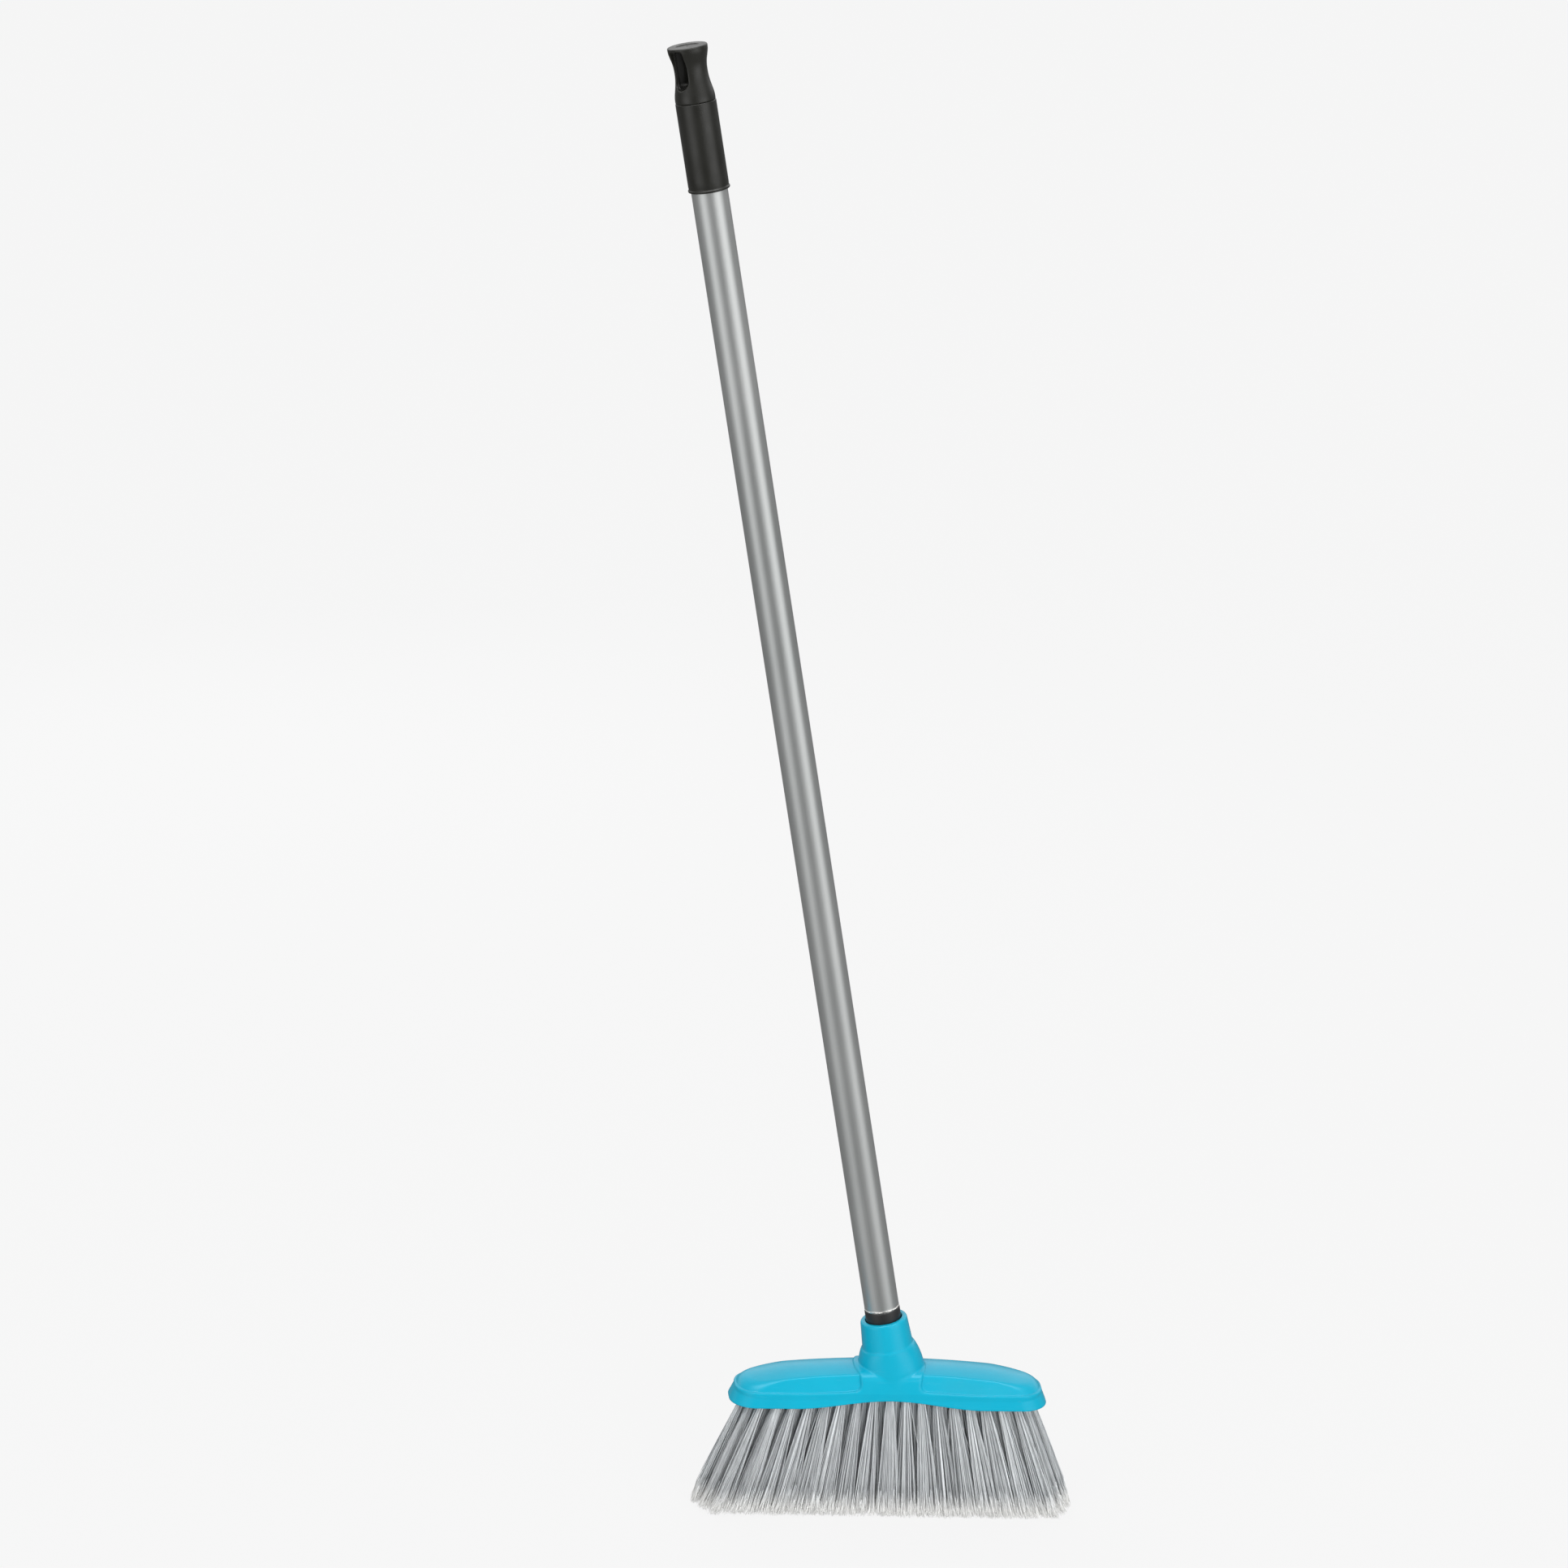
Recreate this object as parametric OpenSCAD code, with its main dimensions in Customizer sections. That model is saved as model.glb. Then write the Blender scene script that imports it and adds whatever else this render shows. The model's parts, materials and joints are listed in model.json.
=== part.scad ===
// Floor broom: a flagged-bristle head with a screw-in handle leaning in the head's own plane.
// Origin: middle of the bristle tips, on the floor. +X along the head, -Y is the front, +Z up.

/* [Handle] */
// Lean of the socket and handle, degrees towards -X
lean = 11.3; // [0:0.1:20]
// Outside diameter of the metal tube
tube_d = 27.7; // [27.5:0.1:28]
// Wall of the metal tube
tube_wall = 0.5; // [0.4:0.1:1]
// Distance along the handle from the socket mouth to the top of the cap
handle_reach = 1045; // [700:5:1300]
// Thickness of the film that covers the tube
film_wall = 0.15; // [0.1:0.05:0.2]

/* [Grip and cap] */
// Outside diameter of the grip sleeve
grip_d = 31.1; // [30:0.1:34]
// Length of the grip sleeve
grip_h = 68; // [50:1:140]
// Height of the cap above the grip sleeve
cap_h = 42.5; // [40:0.5:50]
// Diameter of the cap at its waist
waist_d = 25.1; // [24:0.1:27]
// Width of the hanging slot
slot_w = 12.4; // [10:0.2:12.6]
// Direction of the hanging slot, degrees from the front towards -X
slot_turn = 48; // [0:1:90]

/* [Head] */
// Length of the head
head_l = 260; // [256:1:300]
// Depth of the head
head_w = 52; // [52:1:60]
// Radius of the head's corners, seen from above
head_corner = 22; // [18:1:24]
// Height of the cover's lower edge above the floor, at the ends
skirt_z = 93.7; // [90:0.1:96]
// Rise of the lower edge at the middle
arch_rise = 6.9; // [4:0.1:8]
// Height of the top of the band that runs round the cover
band_z = 107; // [106:0.5:108]
// How far the band's ends lean in towards its top
band_lean_l = 4.5; // [3:0.1:5]
// How far the band's front and back lean in towards its top
band_lean_w = 2.5; // [2:0.1:3]
// Wall of the cover
cover_wall = 2.4; // [2:0.1:3]

/* [Socket and thread] */
// Height at which the handle's axis crosses the middle of the head
cross_z = 129.3; // [128:0.1:132]
// Distance along the axis from that crossing to the socket mouth
mouth_s = 34.4; // [33:0.1:36]
// Rise of the thread in one turn
pitch = 5; // [4:0.5:5]
// Full turns that the thread engages
turns = 5; // [4:1:5]

/* [Bristles] */
// Tufts in the middle row
tufts = 19; // [15:2:19]
// Rows of tufts, from front to back
rows = 5; // [3:2:5]
// Distance between the tufts of a row at the floor
tip_step = 17.1; // [16:0.1:17.5]
// Distance between rows at the floor
tip_row_step = 13.4; // [12:0.1:14]
// Radius of a tuft at the floor
tip_r = 3.6; // [3:0.1:5]

/* [Hidden] */

blue = [0.12, 0.70, 0.84];
black = [0.16, 0.16, 0.17];
silver = [0.72, 0.73, 0.74];
grey = [0.72, 0.73, 0.74];
big = 400;
$fn = 96;

// Stations along the handle's axis, measured from its crossing with the head's middle
half_collar_h = 10;
ledge_s = mouth_s - half_collar_h;
collar_top_s = mouth_s + half_collar_h;
cap_top_s = mouth_s + handle_reach;
seam_s = cap_top_s - cap_h;
lip_s = seam_s - grip_h;
socket_end_s = -6;
plug_h = 36;
film_s = collar_top_s + 0.6;

// Thread: the insert's ridge and the socket's groove share one helix
core_r = 9.6;
crest_r = 11.1;
ridge_w = 2.6;
thread_gap = 0.4;
steps = 24;
thread_low_s = -3;
thread_high_s = thread_low_s + turns * pitch;

// Grip: the bead at its lower lip, and the length at each end of the film that it covers
lip_round = 1.8;
lip_stand = 0.5;
film_under_grip = 4;

// Cap: its plug in the tube, its rim, the waist's half height and the slot's room
cap_r = grip_d / 2 - 0.25;
cap_rim = 1.2;
cap_wall = 2.2;
cap_plug_h = 24;
half_waist_h = 16.2;
slot_low = 10.5;
slot_h = 29;

// Radii of the socket's outside
mouth_bore_r = 14.9;
mouth_r = 19;
neck_r = 20.7;
ring_r = 21.4;
ring_s = mouth_s - 22;
flare_r = 28;
flare_s = -14;

// Collar and insert
collar_r = 14.35;
neck_pin_r = 11.3;
insert_bore_r = 7.2;
run_gap = 0.08;
bead_r = 12.3;
bead_h = 0.7;
tube_r = tube_d / 2;
tube_in_r = tube_r - tube_wall;

// Cover: the raised wings and the saddle between them
wing_step = 0.8;
wing_arc_r = 820;
wing_arc_top = 124;
wing_end_top = 116.8;
wing_end_r = 8;
wing_side_r = 12;
wing_top_x = 113;
wing_section_top = 124;
saddle_x = 29;
saddle_top = 125.4;
saddle_w = 47.6;
neck_clip = 23.8;

// Tufted block inside the cover
block_low_z = 101.5;
block_h = 8.5;
block_gap = 0.05;
seat_inset = [11, 6.8];
skirt_inset = [5, 3.9];
cavity_l = head_l - 2 * seat_inset[0];
cavity_w = head_w - 2 * seat_inset[1];
cavity_corner = head_corner - 3;
skirt_l = head_l - 2 * skirt_inset[0];
skirt_w = head_w - 2 * skirt_inset[1];
skirt_corner = head_corner - 5;
hole_r = 2.9;
hole_depth = 5;
root_r = 2.1;
root_z = block_low_z + hole_depth;
root_step = 12.5;
root_row_step = 7.4;
anchor = [4.2, 0.6, 1.6];
anchor_room = 1.9;

// Moves children onto the handle's axis, at a distance along it
module on_axis(s) {
    translate([0, 0, cross_z]) rotate([0, -lean, 0]) translate([0, 0, s]) children();
}

// Rectangle with round corners, centred on the origin
module round_rect(l, w, r) {
    square([l - 2 * r, w], center = true);
    square([l, w - 2 * r], center = true);
    for (sx = [-1, 1], sy = [-1, 1]) translate([sx * (l / 2 - r), sy * (w / 2 - r)]) circle(r);
}

// Outline seen from the front, extruded through the head's depth
module from_front() {
    rotate([90, 0, 0]) linear_extrude(2 * head_w, center = true) children();
}

// Outline seen from the end, extruded along the head's length
module from_end(l) {
    rotate([90, 0, 90]) linear_extrude(l, center = true) children();
}

// Upright solid of an outline seen from above, between two heights
module from_above(low, high) {
    translate([0, 0, low]) linear_extrude(high - low) children();
}

// Section of the band or a wing: straight sides with rounded top corners
module dome_section(half_w, top, r) {
    translate([-half_w, 0]) square([2 * half_w, top - r]);
    translate([-(half_w - r), 0]) square([2 * (half_w - r), top]);
    for (side = [-1, 1]) translate([side * (half_w - r), top - r]) circle(r);
}

// Upright outline that leans in on both sides between the skirt's edge and the band's top
module leaning_sides(w, lean_in) {
    polygon([[-w / 2, skirt_z], [w / 2, skirt_z], [w / 2 - lean_in, band_z], [lean_in - w / 2, band_z]]);
}

// Band round the foot of the cover, drafted inwards towards its top
module band() {
    intersection() {
        from_above(0, big) round_rect(head_l, head_w, head_corner);
        from_front() leaning_sides(head_l, band_lean_l);
        from_end(2 * head_l) leaning_sides(head_w, band_lean_w);
    }
}

// Solid under the wings' tops: rounded along its length and across it
module wings(shrink) {
    half_l = head_l / 2 - band_lean_l - wing_step - shrink;
    half_w = head_w / 2 - band_lean_w - wing_step - shrink;
    end_top = wing_end_top - shrink;
    intersection() {
        from_above(skirt_z, big) round_rect(2 * half_l, 2 * half_w, head_corner - 1 - shrink);
        from_end(2 * head_l) dome_section(half_w, wing_section_top - shrink, wing_side_r - shrink);
        from_front() intersection() {
            translate([0, wing_arc_top - shrink - wing_arc_r]) circle(wing_arc_r, $fn = 360);
            union() {
                translate([-wing_top_x + shrink, 0]) square([2 * (wing_top_x - shrink), big]);
                dome_section(half_l, end_top, wing_end_r - shrink);
            }
        }
    }
}

// Saddle between the wings, standing a little proud of them
module saddle() {
    intersection() {
        from_end(2 * saddle_x) dome_section(saddle_w / 2, saddle_top, wing_side_r);
        from_above(skirt_z, big) circle(saddle_x + 6);
    }
}

// Round socket above the ring, and the neck that flares below it into the saddle
module socket_outside() {
    on_axis(0) rotate_extrude() {
        polygon([[0, ring_s - 1], [neck_r, ring_s - 1], [mouth_r, mouth_s - 1.2], [mouth_r - 1.2, mouth_s],
                 [0, mouth_s]]);
    }
    intersection() {
        on_axis(0) rotate_extrude() {
            polygon([[0, flare_s], [flare_r, flare_s], [ring_r, ring_s - 0.8], [neck_r - 0.1, ring_s],
                     [0, ring_s]]);
        }
        translate([0, 0, big / 2]) cube([big, 2 * neck_clip, big], center = true);
    }
}

// One helical ridge of trapezium section, sunk into its core, with its ends run down to the core
function ridge_ring(k, n, low, r_in, r_out, w_in, w_out) =
    let (a = 360 * k / steps + 360 * low / pitch, s = low + pitch * k / steps,
         run = min(1, 0.05 + min(k, n - k) / 4), r = r_in + (r_out - r_in) * run)
    [for (q = [[r_in, -w_in], [r, -w_out], [r, w_out], [r_in, w_in]])
        [q[0] * cos(a), q[0] * sin(a), s + q[1] / 2]];

module helix_ridge(low, high, r_in, r_out, w_in, w_out) {
    n = round((high - low) / pitch * steps);
    rings = [for (k = [0:n]) each ridge_ring(k, n, low, r_in, r_out, w_in, w_out)];
    sides = [for (k = [0:n - 1], j = [0:3]) let (a = 4 * k + j, b = 4 * k + (j + 1) % 4)
                each [[a, b, a + 4], [b, b + 4, a + 4]]];
    caps = [[0, 2, 1], [0, 3, 2], [4 * n, 4 * n + 1, 4 * n + 2], [4 * n, 4 * n + 2, 4 * n + 3]];
    polyhedron(rings, concat(sides, caps), convexity = 10);
}

module head_cover() {
    color(blue) difference() {
        union() {
            band();
            wings(0);
            saddle();
            socket_outside();
        }
        translate([0, 0, skirt_z + arch_rise - arch_radius()]) rotate([90, 0, 0])
            cylinder(r = arch_radius(), h = big, center = true, $fn = 360);
        difference() {
            union() {
                band_cavity();
                wings(cover_wall);
            }
            on_axis(socket_end_s) cylinder(r = flare_r - 9, h = 60);
        }
        on_axis(ledge_s) cylinder(r = mouth_bore_r, h = big);
        on_axis(socket_end_s - 20) cylinder(r = core_r + thread_gap, h = 60);
        on_axis(0) helix_ridge(thread_low_s - 2.5, ledge_s + pitch, core_r + thread_gap - 0.4,
                               crest_r + thread_gap + 0.05, ridge_w + 1.6, ridge_w - 0.2);
    }
}

// Radius of the arch in the cover's lower edge
function arch_radius() = let (half = 62) (half * half + arch_rise * arch_rise) / (2 * arch_rise);

// Room inside the band: a seat for the block, and a wider skirt below it
module band_cavity() {
    from_above(block_low_z - 1, block_low_z + block_h) round_rect(cavity_l, cavity_w, cavity_corner);
    from_above(skirt_z - 5, block_low_z) round_rect(skirt_l, skirt_w, skirt_corner);
}

// Number of tufts in a row: each row out from the middle has one less, and sits half a step over
function in_row(row) = tufts - abs(row - (rows + 1) / 2);
function tuft_x(row, i, step) = (i - (in_row(row) - 1) / 2) * step;
function tuft_y(row, step) = (row - (rows + 1) / 2) * step;

// Line of one tuft, from its root in the block to its tip on the floor
function root_at(row, i) = [tuft_x(row, i, root_step), tuft_y(row, root_row_step), root_z];
function tip_at(row, i) = [tuft_x(row, i, tip_step), tuft_y(row, tip_row_step), 0];

// Puts children on the line of a tuft, with +Z running down from the root to the tip
module along_tuft(row, i) {
    d = tip_at(row, i) - root_at(row, i);
    translate(root_at(row, i)) rotate([0, acos(d[2] / norm(d)), atan2(d[1], d[0])]) children();
}

module tuft(row, i) {
    length = norm(tip_at(row, i) - root_at(row, i));
    grow = (tip_r - root_r) / length;
    extra = 6;
    intersection() {
        along_tuft(row, i) cylinder(r1 = root_r, r2 = tip_r + grow * extra, h = length + extra);
        translate([0, 0, big / 2]) cube([2 * big, 2 * big, big], center = true);
    }
}

module bristle_row(row) {
    color(grey) for (i = [0:in_row(row) - 1]) tuft(row, i);
}

module bristle_block() {
    color(blue) difference() {
        from_above(block_low_z, block_low_z + block_h)
            round_rect(cavity_l - 2 * block_gap, cavity_w - 2 * block_gap, cavity_corner - block_gap);
        for (row = [1:rows], i = [0:in_row(row) - 1])
            along_tuft(row, i) translate([0, 0, -anchor_room]) cylinder(r = hole_r, h = 20);
    }
}

module tuft_anchors() {
    color(silver) for (row = [1:rows], i = [0:in_row(row) - 1])
        along_tuft(row, i) translate([0, 0, -0.1 - anchor[2] / 2]) cube(anchor, center = true);
}

module collar_ring() {
    low = ledge_s + bead_h + 0.3;
    color(black) difference() {
        on_axis(low) cylinder(r = collar_r, h = collar_top_s - low);
        on_axis(low - 1) cylinder(r = neck_pin_r + run_gap, h = 60);
    }
}

module thread_insert() {
    color(black) difference() {
        union() {
            on_axis(thread_low_s - 1.5) cylinder(r = core_r, h = ledge_s + 2 - thread_low_s);
            on_axis(ledge_s + 0.15) cylinder(r = bead_r, h = bead_h);
            on_axis(ledge_s + 0.15) cylinder(r = neck_pin_r, h = collar_top_s - ledge_s);
            on_axis(collar_top_s + 0.1) cylinder(r = tube_in_r, h = plug_h);
            on_axis(0) helix_ridge(thread_low_s, thread_high_s, core_r - 0.4, crest_r, ridge_w,
                                   ridge_w - 1.2);
        }
        on_axis(2 * thread_low_s) cylinder(r = insert_bore_r, h = big);
    }
}

module handle_tube() {
    low = collar_top_s + 0.1;
    color(silver) difference() {
        on_axis(low) cylinder(r = tube_r, h = seam_s - 2 - low);
        on_axis(low - 1) cylinder(r = tube_in_r, h = handle_reach);
    }
}

module tube_film() {
    color(silver) difference() {
        on_axis(film_s) cylinder(r = tube_r + film_wall, h = lip_s + film_under_grip - film_s);
        on_axis(film_s - 1) cylinder(r = tube_r, h = handle_reach);
    }
}

module grip_sleeve() {
    film_room = film_wall + 0.05;
    lip_r = grip_d / 2 + lip_stand;
    color(black) difference() {
        union() {
            on_axis(lip_s + lip_round) cylinder(r = grip_d / 2, h = grip_h - lip_round);
            on_axis(lip_s) rotate_extrude() {
                translate([lip_r - lip_round, lip_round]) circle(lip_round);
                translate([0, lip_round / 3]) square([lip_r - lip_round, lip_round * 5 / 3]);
            }
        }
        on_axis(lip_s - 1) cylinder(r = tube_r + film_room, h = film_under_grip + 1.2);
        on_axis(lip_s - 1) cylinder(r = tube_r, h = big);
    }
}

// Outline of the cap from its plug in the tube up to the rounded rim, with a waist turned by one arc
module cap_outline() {
    dip = cap_r - waist_d / 2;
    waist_arc_r = (half_waist_h * half_waist_h + dip * dip) / (2 * dip);
    difference() {
        union() {
            translate([0, 0.1]) square([cap_r, cap_h - cap_rim - 0.1]);
            square([cap_r - cap_rim - 0.05, cap_h]);
            translate([cap_r - cap_rim - 0.05, cap_h - cap_rim]) circle(cap_rim);
        }
        translate([waist_d / 2 + waist_arc_r, cap_h - 2 * cap_rim - half_waist_h])
            circle(waist_arc_r, $fn = 240);
    }
    translate([0, -cap_plug_h]) square([tube_in_r, cap_plug_h + 0.2]);
}

module hanger_cap() {
    slot_r = slot_w / 2;
    color(black) difference() {
        on_axis(seam_s) rotate_extrude() cap_outline();
        on_axis(seam_s + slot_low) rotate([0, 0, -slot_turn]) {
            translate([-slot_r, -cap_r * 2, slot_r]) cube([slot_w, cap_r * 4, slot_h - slot_r]);
            translate([0, cap_r * 2, slot_r]) rotate([90, 0, 0]) cylinder(r = slot_r, h = cap_r * 4);
        }
        on_axis(seam_s + slot_low) cylinder(r = waist_d / 2 - cap_wall, h = slot_h);
        on_axis(seam_s - cap_plug_h - 1) cylinder(r = tube_in_r - cap_wall, h = cap_plug_h - 1);
    }
}

head_cover();
bristle_block();
bristle_row(1);  // bristle_row_1
bristle_row(2);  // bristle_row_2
bristle_row(3);  // bristle_row_3
bristle_row(4);  // bristle_row_4
bristle_row(5);  // bristle_row_5
tuft_anchors();
collar_ring();
thread_insert();
handle_tube();
tube_film();
grip_sleeve();
hanger_cap();
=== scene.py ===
"""Looks of the floor broom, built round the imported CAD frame.

Shapes are worked out in millimetres and become metres in add_piece.
"""

import json
import math

import bpy
import numpy as np
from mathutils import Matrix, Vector


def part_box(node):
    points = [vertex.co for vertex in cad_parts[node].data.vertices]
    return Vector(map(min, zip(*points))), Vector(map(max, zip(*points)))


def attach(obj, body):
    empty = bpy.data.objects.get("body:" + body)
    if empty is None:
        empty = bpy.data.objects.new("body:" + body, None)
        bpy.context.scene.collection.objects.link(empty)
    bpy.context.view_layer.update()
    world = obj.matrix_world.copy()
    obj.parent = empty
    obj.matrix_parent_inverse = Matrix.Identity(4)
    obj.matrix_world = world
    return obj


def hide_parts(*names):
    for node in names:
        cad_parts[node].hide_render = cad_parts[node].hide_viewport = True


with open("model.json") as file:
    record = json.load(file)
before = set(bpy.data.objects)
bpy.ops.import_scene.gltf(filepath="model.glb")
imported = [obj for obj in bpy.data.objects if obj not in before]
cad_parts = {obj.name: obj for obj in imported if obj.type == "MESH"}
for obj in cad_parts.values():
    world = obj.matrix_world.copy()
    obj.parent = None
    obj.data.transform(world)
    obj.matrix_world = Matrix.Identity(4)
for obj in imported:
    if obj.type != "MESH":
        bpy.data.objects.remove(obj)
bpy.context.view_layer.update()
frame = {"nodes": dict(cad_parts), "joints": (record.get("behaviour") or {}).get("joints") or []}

MM = 0.001
NODES = frame["nodes"]
SCENE = bpy.context.scene
rng = np.random.default_rng(476)

# The handle turns about AXIS, through MOUTH, the middle of the socket's mouth. LEAN is its angle from
# upright, in radians.
TURN = next(j for j in frame["joints"] if j["name"] == "handle_turn")
MOUTH = np.array(TURN["pos_m"]) / MM
AXIS = np.array(TURN["axis"], float) / np.linalg.norm(TURN["axis"])
ACROSS = np.array([AXIS[2], 0.0, -AXIS[0]])
BACKWARD = np.array([0.0, 1.0, 0.0])
LEAN = math.atan2(-AXIS[0], AXIS[2])


def node_points(node):
    """Vertices of a CAD node, in millimetres."""
    return np.array([v.co for v in NODES[node].data.vertices], float) / MM


def stations(node):
    """Lowest and highest distance of a node along the handle's axis, measured from the mouth."""
    along = (node_points(node) - MOUTH) @ AXIS
    return along.min(), along.max()


def handle_radius(node):
    """Largest distance of a node from the handle's axis."""
    rel = node_points(node) - MOUTH
    return np.linalg.norm(rel - np.outer(rel @ AXIS, AXIS), axis=1).max()


# ---------------------------------------------------------------- camera

VIEW_ANGLES = (-5.74, 16.73, 2.96)      # azimuth, elevation and roll, in degrees
VIEW_AIM = Vector((-0.110, 0, 0.6124))
VIEW_DISTANCE = 4.0785
VIEW_LENS, VIEW_SENSOR = 119.79, 36


def make_camera():
    azimuth, elevation, roll = (math.radians(a) for a in VIEW_ANGLES)
    back = Vector((math.sin(azimuth) * math.cos(elevation), -math.cos(azimuth) * math.cos(elevation),
                   math.sin(elevation)))
    level = Vector((math.cos(azimuth), math.sin(azimuth), 0))
    upright = back.cross(level)
    right = math.cos(roll) * level + math.sin(roll) * upright
    up = math.cos(roll) * upright - math.sin(roll) * level
    data = bpy.data.cameras.new("camera")
    data.lens = VIEW_LENS
    data.sensor_width = VIEW_SENSOR
    data.clip_end = 100
    cam = bpy.data.objects.new("camera", data)
    SCENE.collection.objects.link(cam)
    place = VIEW_AIM + back * VIEW_DISTANCE
    for row in range(3):
        for col, v in enumerate((right, up, back, place)):
            cam.matrix_world[row][col] = v[row]
    SCENE.camera = cam


# ---------------------------------------------------------------- shader helpers

def new_tree(owner):
    owner.use_nodes = True
    owner.node_tree.nodes.clear()
    return owner.node_tree


class Nodes:
    """Short way to write a shader: make(type, sockets..., settings...) and link by passing outputs."""

    def __init__(self, tree):
        self.tree = tree

    def feed(self, socket, value):
        """Links an output to a socket, or sets the socket to a plain value."""
        if isinstance(value, bpy.types.NodeSocket):
            self.tree.links.new(value, socket)
        else:
            socket.default_value = value

    def make(self, kind, inputs=None, out=0, **settings):
        node = self.tree.nodes.new("ShaderNode" + kind)
        for name, value in settings.items():
            setattr(node, name, value)
        for name, value in (inputs or {}).items():
            self.feed(node.inputs[name], value)
        return node.outputs[out] if out is not None and len(node.outputs) else node

    def math(self, operation, a, b=0.0):
        return self.make("Math", {0: a, 1: b}, operation=operation)

    def ramp(self, value, low, high, to_low=0.0, to_high=1.0):
        return self.make("MapRange", {"Value": value, "From Min": low, "From Max": high,
                                      "To Min": to_low, "To Max": to_high})

    def mix(self, factor, a, b):
        """Mix of two colours; the colour sockets of the node are inputs 6 and 7 and output 2."""
        return self.make("Mix", {0: factor, 6: a, 7: b}, out=2, data_type="RGBA")

    def noise(self, where, scale, detail=3.0, rough=0.5):
        return self.make("TexNoise", {"Vector": where, "Scale": scale, "Detail": detail,
                                      "Roughness": rough})


# ---------------------------------------------------------------- floor and light

# The lights of the room. Bearings are degrees to the right of the front, and heights run from -1
# straight down to 1 straight up. A strip comes up to its level over rise, from least, and then
# fades over fade.
LEFT_STRIP = {"centre": -52, "half": 20, "soft": 16, "rise": (-0.44, -0.28), "least": 0.1,
              "fade": (-0.25, 0.05)}
RIGHT_STRIP = {"centre": 45, "half": 24, "soft": 14, "rise": (-0.25, -0.11), "least": 0.0,
               "fade": (-0.02, 0.22)}
STRIP_LEVEL, STRIP_FADED = 1.75, 0.35
ROOM_LEVEL = 0.2
CEILING_LEVEL, CEILING_RISE = 0.6, (0.1, 0.9)
REAR_WALL_RISE, REAR_WALL_DEPTH = (0.0, 0.25), (0.0, 0.6)
SOFTBOX_LEVEL, SOFTBOX_EDGE = 4.5, (95, 55)
SOFTBOX_LOW, SOFTBOX_HIGH = (0.74, 0.82), (0.975, 0.955)
BACKDROP = 0.94

FLOOR_HALF = 60.0
FLOOR_GLOW, FLOOR_GLOW_SEEN = 0.68, 0.92
FLOOR_GLOW_SHARE = 0.95


def make_world():
    """A dim room: bright ceiling, a soft box high in front and two tall strips at the sides."""
    world = bpy.data.worlds.new("studio")
    SCENE.world = world
    n = Nodes(new_tree(world))
    split = n.make("SeparateXYZ", {0: n.make("TexCoord", out="Generated")}, out=None)
    depth = split.outputs["Y"]
    height = split.outputs["Z"]
    bearing = n.math("ARCTAN2", split.outputs["X"], n.math("MULTIPLY", depth, -1.0))

    def strip(centre, half, soft, rise, least, fade):
        off = n.math("ABSOLUTE", n.math("SUBTRACT", bearing, math.radians(centre)))
        upright = n.ramp(off, math.radians(half + soft), math.radians(half - soft))
        lit = n.math("MULTIPLY", upright, n.ramp(height, *rise, least, STRIP_LEVEL))
        return n.math("MULTIPLY", lit, n.ramp(height, *fade, 1.0, STRIP_FADED))

    strips = n.math("ADD", strip(**LEFT_STRIP), strip(**RIGHT_STRIP))
    rear_wall = n.math("MULTIPLY", n.ramp(depth, *REAR_WALL_DEPTH), n.ramp(height, *REAR_WALL_RISE))
    ceiling = n.math("MULTIPLY", n.ramp(height, *CEILING_RISE), CEILING_LEVEL)
    ahead = n.ramp(n.math("ABSOLUTE", bearing), *(math.radians(a) for a in SOFTBOX_EDGE))
    box = n.math("MULTIPLY", n.ramp(height, *SOFTBOX_LOW), n.ramp(height, *SOFTBOX_HIGH))
    glossy_only = n.math("MULTIPLY", n.make("LightPath", out="Is Glossy Ray"), SOFTBOX_LEVEL)
    softbox = n.math("MULTIPLY", n.math("MULTIPLY", box, ahead), glossy_only)
    room = n.math("ADD", n.math("ADD", strips, ROOM_LEVEL), n.math("MAXIMUM", ceiling, rear_wall))
    light = n.make("Background", {"Color": (1.0, 1.0, 1.0, 1.0),
                                  "Strength": n.math("ADD", room, softbox)})
    seen = n.make("Background", {"Color": (BACKDROP, BACKDROP, BACKDROP, 1.0), "Strength": 1.0})
    both = n.make("MixShader", {0: n.make("LightPath", out="Is Camera Ray"), 1: light, 2: seen})
    n.make("OutputWorld", {0: both})


def make_floor():
    """Pale floor that mostly glows, so that it stays even from wall to wall."""
    mesh = bpy.data.meshes.new("floor")
    corners = [(x * FLOOR_HALF, y * FLOOR_HALF, 0) for x, y in ((-1, -1), (1, -1), (1, 1), (-1, 1))]
    mesh.from_pydata(corners, [], [(0, 1, 2, 3)])
    floor = bpy.data.objects.new("floor", mesh)
    SCENE.collection.objects.link(floor)
    mat = bpy.data.materials.new("floor")
    n = Nodes(new_tree(mat))
    diffuse = n.make("BsdfDiffuse", {"Color": (0.9, 0.9, 0.9, 1.0)})
    strength = n.ramp(n.make("LightPath", out="Is Camera Ray"), 0.0, 1.0, FLOOR_GLOW, FLOOR_GLOW_SEEN)
    glow = n.make("Emission", {"Color": (1.0, 1.0, 1.0, 1.0), "Strength": strength})
    n.make("OutputMaterial", {0: n.make("MixShader", {0: FLOOR_GLOW_SHARE, 1: diffuse, 2: glow})})
    mesh.materials.append(mat)
    floor.visible_glossy = False


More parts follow.
